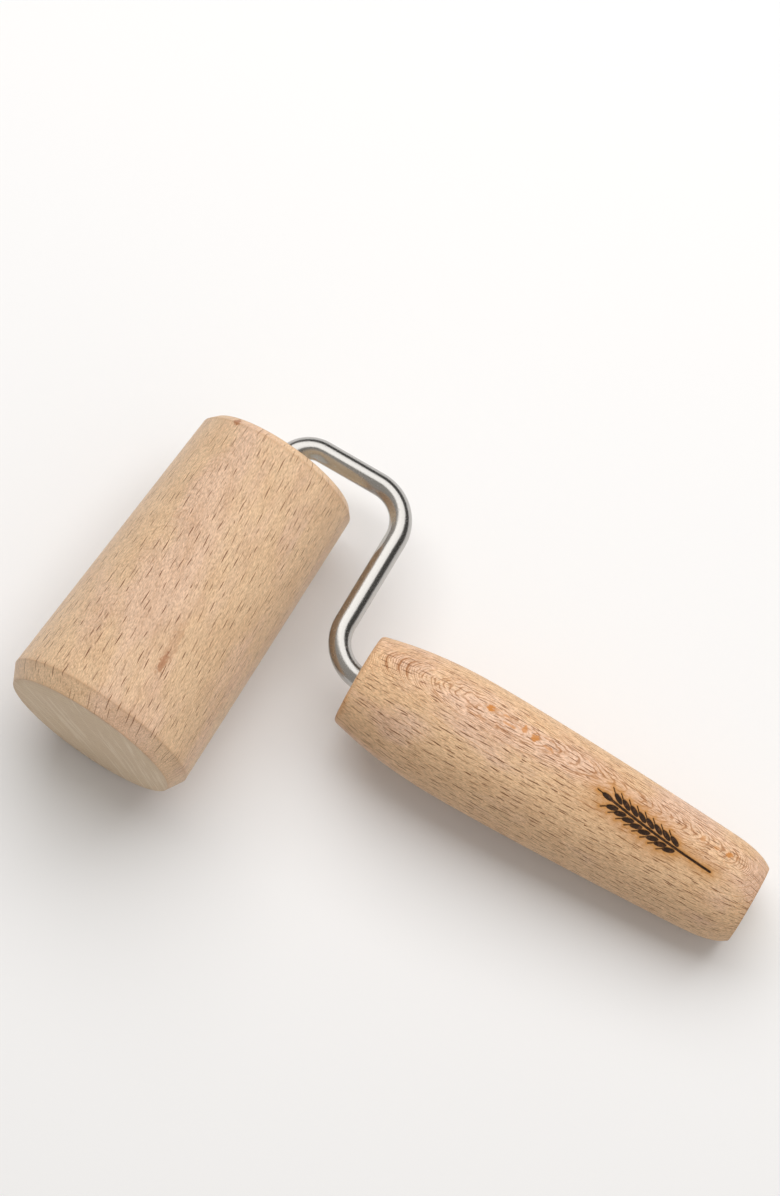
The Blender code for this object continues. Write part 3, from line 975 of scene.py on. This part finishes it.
def moulded_nylon():
    """Off-white nylon with a fine spark texture and a slight wax sheen."""
    f = Finish("nylon")
    grain = f.object_noise(SPARK_WAVES, 2.0)
    cloud = f.object_noise(NYLON_WAVES, 3.0)
    f.set(Base_Color=f.mix(cloud, NYLON_DIM, NYLON_PALE), Roughness=f.line(grain, 0.18, 0.34))
    f.set(Subsurface_Weight=0.12, Subsurface_Scale=NYLON_SCATTER, Specular_IOR_Level=0.45)
    f.set(Normal=f.bump(grain, SPARK_RELIEF))
    return f.material


def pale_floor():
    """Matt off-white board."""
    f = Finish("pale_floor")
    f.set(Base_Color=FLOOR_COLOUR, Roughness=0.9, Specular_IOR_Level=0.1)
    return f.material


# Studio


def floor_plane(lowest):
    """A pale floor under the tool."""
    half = FLOOR_SIZE / 2
    corners = [(-half, -half, 0.0), (half, -half, 0.0), (half, half, 0.0), (-half, half, 0.0)]
    floor = new_object("floor", corners, [(0, 1, 2, 3)], Matrix.Translation((0, 0, lowest)))
    floor.data.materials.append(pale_floor())


def surroundings():
    """Dim light from all round, brighter from one side, with a backdrop and reflections of their own."""
    world = bpy.data.worlds.new("surroundings")
    bpy.context.scene.world = world
    world.use_nodes = True
    w = Nodes(world.node_tree)
    direction = w.add("ShaderNodeTexCoord").outputs["Generated"]
    rays = w.add("ShaderNodeLightPath").outputs
    fill = w.mix(w.step(w.dot(direction, FILL_TOWARDS), *FILL_EDGE), FILL_DIM, FILL_BRIGHT)
    mirrored = w.mix(w.step(w.dot(direction, FRONT), *FRONT_EDGE), MIRRORED_BACK, MIRRORED_FRONT)
    seen = w.mix(rays["Is Glossy Ray"], fill, mirrored)
    w.feed(w.tree.nodes["Background"].inputs["Color"], w.mix(rays["Is Camera Ray"], seen, BACKDROP))


def softbox(name, watts, mirrored):
    """A large softbox behind and above the tool, which reflections show only if it is mirrored."""
    light = bpy.data.lights.new(name, "AREA")
    light.shape = "RECTANGLE"
    light.size, light.size_y = SOFTBOX_SIZE
    light.energy = watts
    light.color = SOFTBOX_COLOUR
    box = bpy.data.objects.new(name, light)
    bpy.context.scene.collection.objects.link(box)
    towards = Vector(SOFTBOX_TOWARDS).normalized()
    box.matrix_world = axis_frame(Vector(CAMERA_AIM) + towards * SOFTBOX_BACK, towards, (1, 0, 0))
    box.visible_camera = False
    box.visible_glossy = mirrored


def camera():
    """The camera, turned about the point it aims at."""
    lens = bpy.data.cameras.new("camera")
    lens.lens = CAMERA_LENS
    lens.sensor_width = SENSOR
    lens.clip_start = CAMERA_NEAR
    made = bpy.data.objects.new("camera", lens)
    bpy.context.scene.collection.objects.link(made)
    turn = Matrix.Rotation(CAMERA_AZIMUTH, 4, "Z")
    turn @= Matrix.Rotation(math.pi / 2 - CAMERA_ELEVATION, 4, "X")
    turn @= Matrix.Rotation(CAMERA_ROLL, 4, "Z")
    back = turn @ Vector((0, 0, CAMERA_BACK))
    made.matrix_world = Matrix.Translation(Vector(CAMERA_AIM) + back) @ turn
    bpy.context.scene.camera = made


def studio(lowest):
    """The floor, the surroundings, the softbox and the camera.

    The softbox is two lights in one place, so that steel mirrors only a share of what lights the wood."""
    bpy.context.scene.view_settings.view_transform = "Standard"
    floor_plane(lowest)
    surroundings()
    softbox("softbox", SOFTBOX_WATTS * SOFTBOX_SHINE, True)
    softbox("softbox_fill", SOFTBOX_WATTS * (1 - SOFTBOX_SHINE), False)
    camera()


# The tool

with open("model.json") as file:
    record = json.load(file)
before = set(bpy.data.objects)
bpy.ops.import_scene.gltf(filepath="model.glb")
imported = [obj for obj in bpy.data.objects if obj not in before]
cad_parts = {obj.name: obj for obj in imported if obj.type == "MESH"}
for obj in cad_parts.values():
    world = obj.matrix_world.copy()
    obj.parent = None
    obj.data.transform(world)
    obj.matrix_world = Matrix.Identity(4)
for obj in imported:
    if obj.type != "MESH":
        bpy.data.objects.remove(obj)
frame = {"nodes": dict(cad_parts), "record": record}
cad_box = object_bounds()
nodes = frame["nodes"]
plane = tool_plane(frame["record"])
joint = frame["record"]["behaviour"]["joints"][0]
axle = plane.inverted().to_3x3() @ Vector(joint["axis"]).normalized()
barrel_place = axis_frame(joint["pos_m"], joint["axis"], plane.to_3x3() @ Vector((1, 0, 0)))
grip_place = handle_place(frame, plane)

barrel = barrel_mesh(nodes["roller_barrel"], barrel_place)
handle = handle_mesh(nodes["handle"], grip_place)
wire = wire_mesh(plane, axle, plane.inverted() @ grip_place.translation)
bush = bush_mesh(barrel_place)
steel = drawn_steel()
nylon = moulded_nylon()
barrel_beech = beech("barrel_beech", barrel_place, BARREL_WOOD).material
handle_beech = burned(beech("handle_beech", grip_place, HANDLE_WOOD)).material

pieces = (
    (barrel, "roller", "roller_barrel", "barrel_beech", barrel_beech),
    (handle, "wire_and_handle", "handle", "handle_beech", handle_beech),
    (wire, "wire_and_handle", "wire_frame", "stainless_steel", steel),
    (bush, "roller", "mouth_bush", "nylon", nylon),
)
for piece, body, node, slot, material in pieces:
    piece.data.materials.append(material)
    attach(piece, body)
    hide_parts(node)
for node, material in (("end_bush", nylon), ("thrust_washer", steel), ("push_nut", spring_steel())):
    nodes[node].material_slots[0].material = material

studio(cad_box[0].z)
